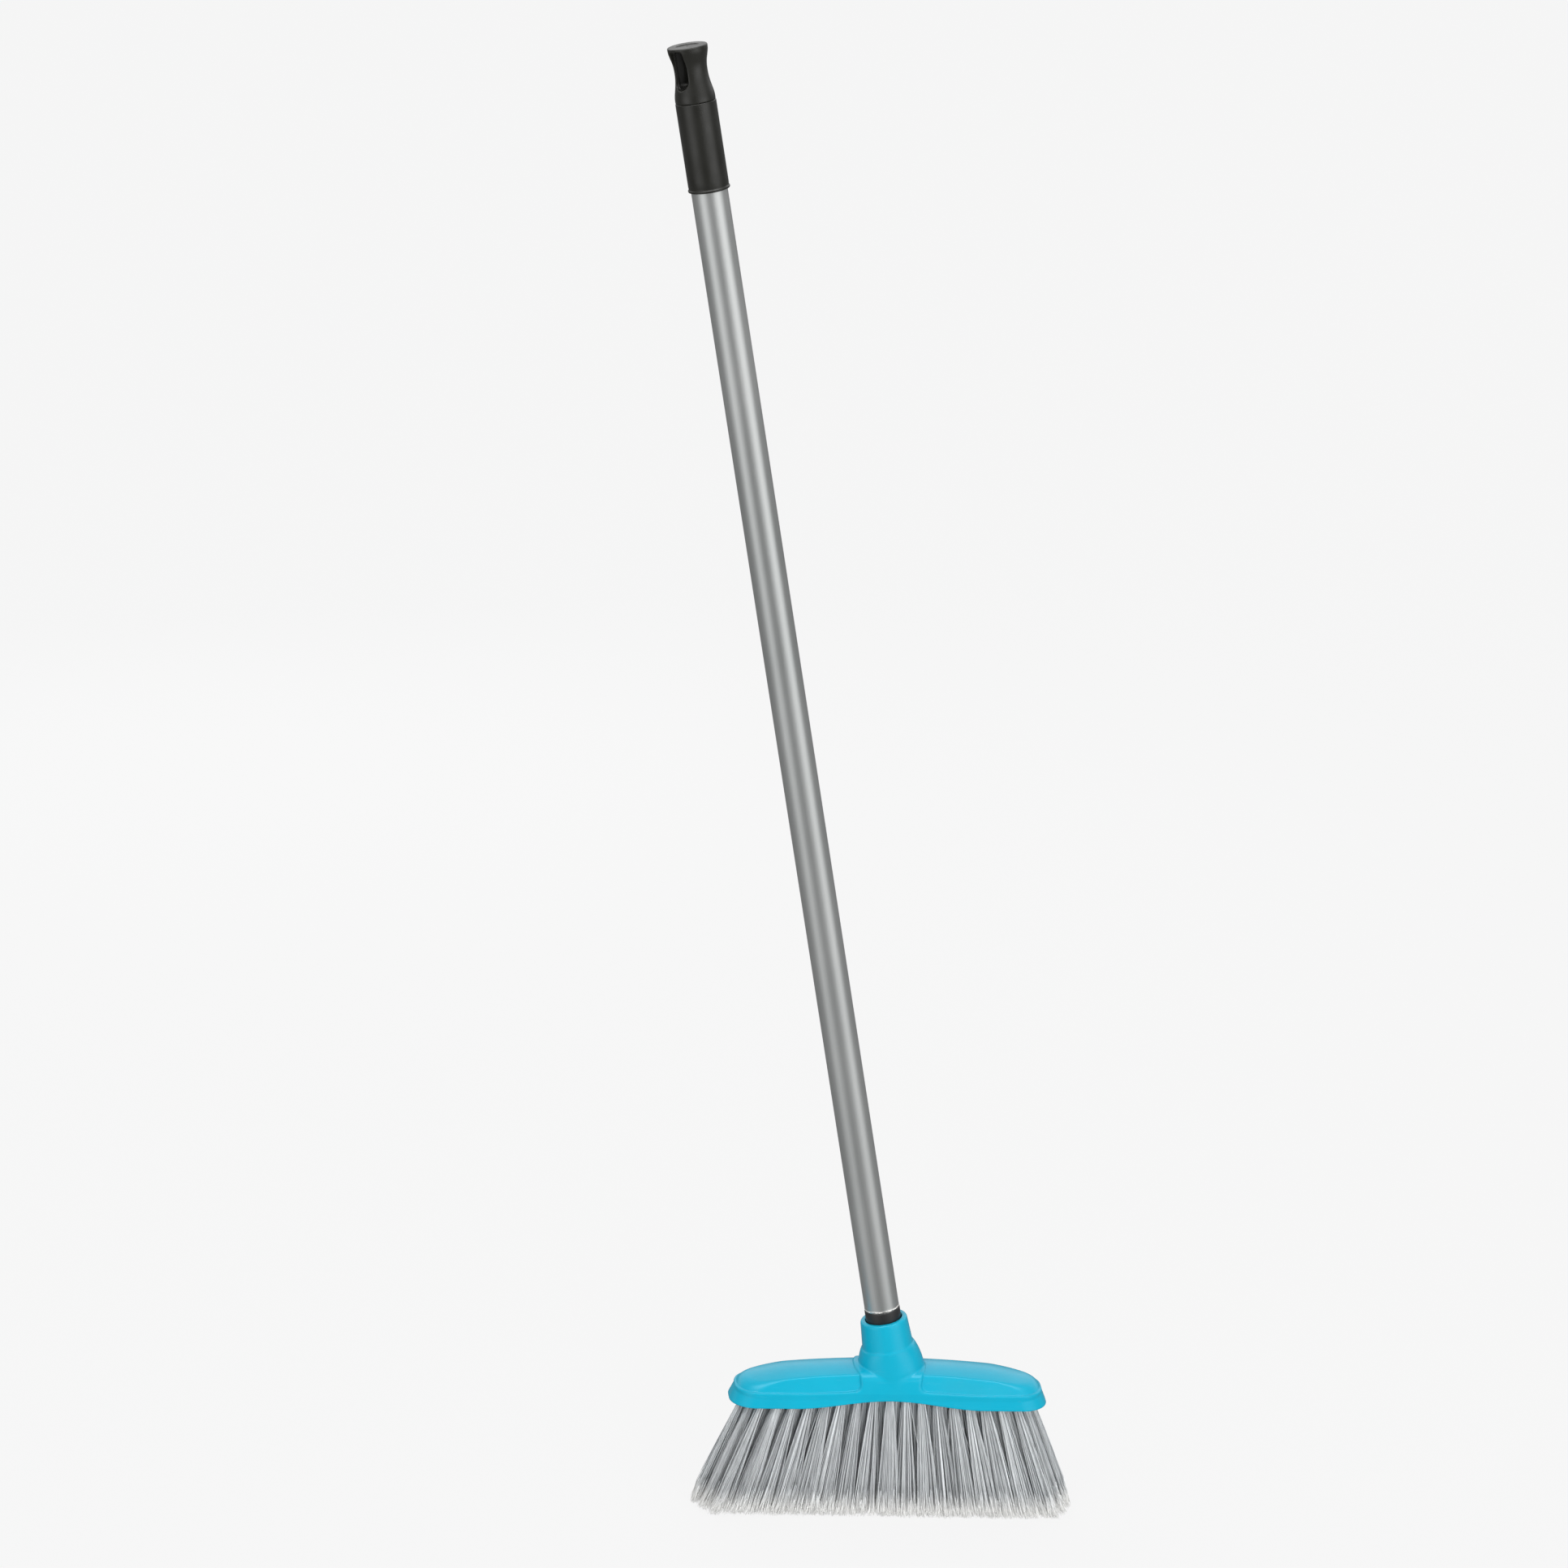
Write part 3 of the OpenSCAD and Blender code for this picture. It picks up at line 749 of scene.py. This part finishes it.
def make_grip():
    """Moulded sleeve: a bead at its lower lip, a plain barrel and a rounded edge at the seam."""
    bead_r, seam_r = 0.9, 0.6
    bead_middle = GRIP_R + BEAD - bead_r
    bore = FILM_R + 0.06
    groove_r = GRIP_R - 0.12
    outline = [(bore + 0.35, LIP)] + arc(bead_middle, LIP + bead_r, bead_r, -90, 0)
    outline += arc(bead_middle, LIP + 1.3, bead_r, 10, 60, 5)
    outline += [(groove_r, LIP + 2.6), (groove_r, LIP + 3.1), (GRIP_R, LIP + 3.8), (GRIP_R, LIP + 9)]
    outline += [(GRIP_R, s) for s in np.linspace(LIP + 16, SEAM - 6, 8)]
    outline += [(GRIP_R, SEAM - 1.2)] + arc(GRIP_R - seam_r, SEAM - seam_r, seam_r, 0, 90, 5)
    outline += [(bore, SEAM), (bore, LIP + 1)]
    return lathe("grip", outline)


# The cap's waisted outline: distance below its top against radius.
CAP_DOWN = [0.0, 1.5, 4.2, 8.2, 12.1, 15.7, 19.5, 24.4, 28.9, 33.3, 35.9, 39.0, 42.5]
CAP_R = [15.25, 15.28, 15.1, 14.2, 13.2, 12.7, 12.55, 12.75, 13.4, 14.3, 14.85, 15.25, 15.3]
CAP_CURVE = curve_through(CAP_DOWN, CAP_R)
CAP_GAP = 0.12
CAP_CROWN, CAP_RIM, CAP_FOOT = 0.0005, 1.1, 0.8
DISH_X, DISH_Y, DISH_DEPTH, DOT_R, DOT_DEPTH = 8.4, 5.6, 0.6, 1.0, 0.7
# The hanging slot goes through the cap, SLOT_TURN degrees from straight front to back.
SLOT_TURN, SLOT_HALF, SLOT_TOP, SLOT_LOW, SLOT_ROUND = 48.0, 6.2, 2.4, 32, 3.0
SLOT_LIP = 1.3
# The room inside the cap that the slot opens into.
CAP_ROOM_R, CAP_ROOM_MIDDLE, CAP_ROOM_HALF = 10.4, 17.5, 14.1


def cap_field(u, v, t):
    """Below 0 in the cap's plastic, in offsets from the handle's axis and distance along it."""
    down = CAP_TOP - t
    r = np.hypot(u, v)
    top_face = -down + CAP_CROWN * r * r
    dish = DISH_DEPTH * np.clip(1.1 - np.hypot(u / DISH_X, v / DISH_Y), 0, 0.1) / 0.1
    dot = DOT_DEPTH * np.clip(1.0 - r / DOT_R, 0, 1)
    body = smooth_max(r - CAP_CURVE(np.clip(down, -1, 44)), top_face + dish + dot, CAP_RIM)
    body = smooth_max(body, SEAM + CAP_GAP - t, CAP_FOOT)

    cos_turn, sin_turn = math.cos(math.radians(SLOT_TURN)), math.sin(math.radians(SLOT_TURN))
    below = np.maximum(down - (SLOT_LOW - SLOT_HALF), 0)
    slot = np.hypot(u * cos_turn - v * sin_turn, below) - SLOT_HALF
    slot = smooth_max(slot, SLOT_TOP - down, SLOT_ROUND)
    slot = np.maximum(slot, np.abs(u * sin_turn + v * cos_turn) - 30)
    hollow = smooth_max(r - CAP_ROOM_R, np.abs(down - CAP_ROOM_MIDDLE) - CAP_ROOM_HALF, SLOT_ROUND)
    return smooth_max(body, -smooth_min(slot, hollow, 1.0), SLOT_LIP)


def make_cap():
    span = graded((-16.2, 16.2, 0.36))
    along = graded((SEAM - 0.6, CAP_TOP + 0.8, 0.36))
    local, faces = surface_net(cap_field, span, span, along)
    points = MOUTH + local[:, 2:] * AXIS + local[:, :1] * ACROSS + local[:, 1:2] * BACKWARD
    return add_piece("cap", points, faces)


# ---------------------------------------------------------------- materials

def surface(name, build, **fixed):
    """A principled material with fixed sockets; build(n, shader) adds the rest of its nodes."""
    mat = bpy.data.materials.new(name)
    n = Nodes(new_tree(mat))
    shader = n.make("BsdfPrincipled", fixed, out=None)
    n.make("OutputMaterial", {0: shader.outputs[0]})
    build(n, shader)
    return mat


def object_coords(n):
    return n.make("TexCoord", out="Object")


def place_on_handle(n):
    """Object coordinates turned so that Z runs along the handle."""
    return n.make("Mapping", {"Vector": object_coords(n), "Rotation": (0, LEAN, 0)})


def bump(n, shader, height, distance):
    normal = n.make("Bump", {"Height": height, "Distance": distance, "Strength": 1.0})
    n.feed(shader.inputs["Normal"], normal)


def plastic(name, dark, light, rough, grain=0.00002, scuffs=0.0, on_handle=False, **fixed):
    """Moulded plastic: slow colour drift, fine grain, and a few faint scuffs, paler and duller."""
    def build(n, shader):
        where = place_on_handle(n) if on_handle else object_coords(n)
        colour = n.mix(n.ramp(n.noise(where, 28.0, 4.0), 0.3, 0.7), dark, light)
        streak_at = n.make("Mapping", {"Vector": where, "Scale": (60.0, 60.0, 420.0)})
        streak = n.ramp(n.noise(streak_at, 1.0, 5.0, 0.7), 0.60, 0.80)
        marks = n.math("MULTIPLY", n.math("MULTIPLY", streak, scuffs), 0.25)
        pale = tuple(0.5 + 0.5 * c for c in light[:3]) + (1.0,)
        n.feed(shader.inputs["Base Color"], n.mix(marks, colour, pale))
        gloss = n.ramp(n.noise(where, 90.0, 5.0), 0.3, 0.7, rough - 0.05, rough + 0.06)
        n.feed(shader.inputs["Roughness"], n.math("ADD", gloss, marks))
        bump(n, shader, n.noise(where, 1400.0, 2.0), grain)
    return surface(name, build, **fixed)


def silver_film(n, shader):
    """Silver film: metallic flakes in a satin lacquer, drawn in faint lines, with a pale cut edge."""
    where = place_on_handle(n)
    lines_at = n.make("Mapping", {"Vector": where, "Scale": (900.0, 900.0, 9.0)})
    lines = n.noise(lines_at, 1.0, 4.0, 0.6)
    flakes = n.noise(where, 2600.0, 1.0)
    drift = n.noise(where, 9.0, 3.0)
    tone = n.math("ADD", n.math("MULTIPLY", lines, 0.35), n.math("MULTIPLY", drift, 0.65))
    colour = n.mix(n.ramp(tone, 0.35, 0.65), (0.56, 0.58, 0.575, 1), (0.64, 0.655, 0.65, 1))
    height = n.make("SeparateXYZ", {0: where}, out="Z")
    above_edge = n.math("SUBTRACT", height, (MOUTH @ AXIS + FILM_LOW) * MM)
    rim = n.ramp(n.math("ADD", above_edge, n.math("MULTIPLY", lines, 0.0012)), 0.0021, 0.0014)
    n.feed(shader.inputs["Base Color"], n.mix(rim, colour, (0.92, 0.89, 0.85, 1)))
    n.feed(shader.inputs["Metallic"], n.ramp(rim, 0.0, 1.0, 0.9, 0.1))
    n.feed(shader.inputs["Roughness"], n.ramp(tone, 0.3, 0.7, 0.33, 0.40))
    bump(n, shader, n.math("ADD", n.math("MULTIPLY", lines, 0.6), flakes), 0.000012)


def bare_steel(n, shader):
    """Drawn steel, with fine lines along the handle."""
    drawn_at = n.make("Mapping", {"Vector": place_on_handle(n), "Scale": (700.0, 700.0, 14.0)})
    drawn = n.noise(drawn_at, 1.0, 4.0)
    colour = n.mix(n.ramp(drawn, 0.35, 0.65), (0.42, 0.43, 0.44, 1), (0.60, 0.60, 0.59, 1))
    n.feed(shader.inputs["Base Color"], colour)
    n.feed(shader.inputs["Roughness"], n.ramp(drawn, 0.3, 0.7, 0.28, 0.42))
    bump(n, shader, drawn, 0.00001)


def fibre(n, shader):
    """Extruded fibre: each strand has its own grey, and the split tips are paler."""
    shade = n.make("Attribute", out="Fac", attribute_name="shade")
    run = n.make("Attribute", out="Fac", attribute_name="run")
    along = n.make("Mapping", {"Vector": object_coords(n), "Scale": (1.0, 1.0, 0.12)})
    mottle = n.noise(along, 420.0, 3.0)
    tone = n.math("ADD", n.math("MULTIPLY", shade, 0.55), n.math("SUBTRACT", mottle, 0.5))
    colour = n.mix(n.ramp(tone, -0.6, 0.6), (0.43, 0.45, 0.465, 1), (0.85, 0.88, 0.895, 1))
    tip = n.ramp(run, 0.80, 0.94)
    n.feed(shader.inputs["Base Color"], n.mix(tip, colour, (0.97, 0.97, 0.955, 1)))
    n.feed(shader.inputs["Roughness"], n.ramp(mottle, 0.3, 0.7, 0.42, 0.56))
    bump(n, shader, mottle, 0.00003)


def dress(piece, material, body=None, stands_for=()):
    """Gives a piece its material, and ties it to a body unless it is a CAD node itself."""
    piece.data.materials.clear()
    piece.data.materials.append(material)
    if body:
        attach(piece, body)
        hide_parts(*stands_for)


# ---------------------------------------------------------------- the scene

SCENE.view_settings.view_transform = "Standard"
make_camera()
make_floor()
make_world()
area_light("key", (-1.25, -1.8, 2.2), (0, 0, 0.3), 1.1, 16)
area_light("fill", (0.7, -2.5, 0.8), (0, 0, 0.1), 0.9, 31)
area_light("rear", (-0.6, 2.4, 1.0), (0, 0, 0.2), 0.9, 9)

cyan = plastic("cover_plastic", (0.003, 0.362, 0.525, 1), (0.004, 0.388, 0.56, 1), 0.21, scuffs=0.2,
               grain=0.00001, **{"Specular IOR Level": 0.27})
dress(make_cover(), cyan, "head", ["head_cover"])
blue = plastic("block_plastic", (0.006, 0.40, 0.62, 1), (0.012, 0.46, 0.70, 1), 0.45, scuffs=0.2)
dress(NODES["bristle_block"], blue)

grey_fibre = surface("bristle_fibre", fibre)
for row, node in enumerate(ROW_NODES):
    dress(make_bristles(row), grey_fibre, "head", [node])

dress(NODES["handle_tube"], surface("tube_steel", bare_steel, Metallic=1.0))
dress(NODES["tuft_anchors"], surface("anchor_wire", bare_steel, Metallic=1.0))
black = plastic("collar_plastic", (0.012, 0.012, 0.013, 1), (0.022, 0.022, 0.022, 1), 0.38,
                on_handle=True)
dress(NODES["thread_insert"], black)
dress(make_collar(), black, "collar", ["collar_ring"])
dress(make_film(), surface("silver_film", silver_film), "handle", ["tube_film"])
satin = plastic("grip_plastic", (0.008, 0.008, 0.006, 1), (0.014, 0.014, 0.012, 1), 0.31,
                grain=0.00004, on_handle=True, **{"Specular IOR Level": 0.5})
dress(make_grip(), satin, "handle", ["grip_sleeve"])
dress(make_cap(), satin, "handle", ["hanger_cap"])
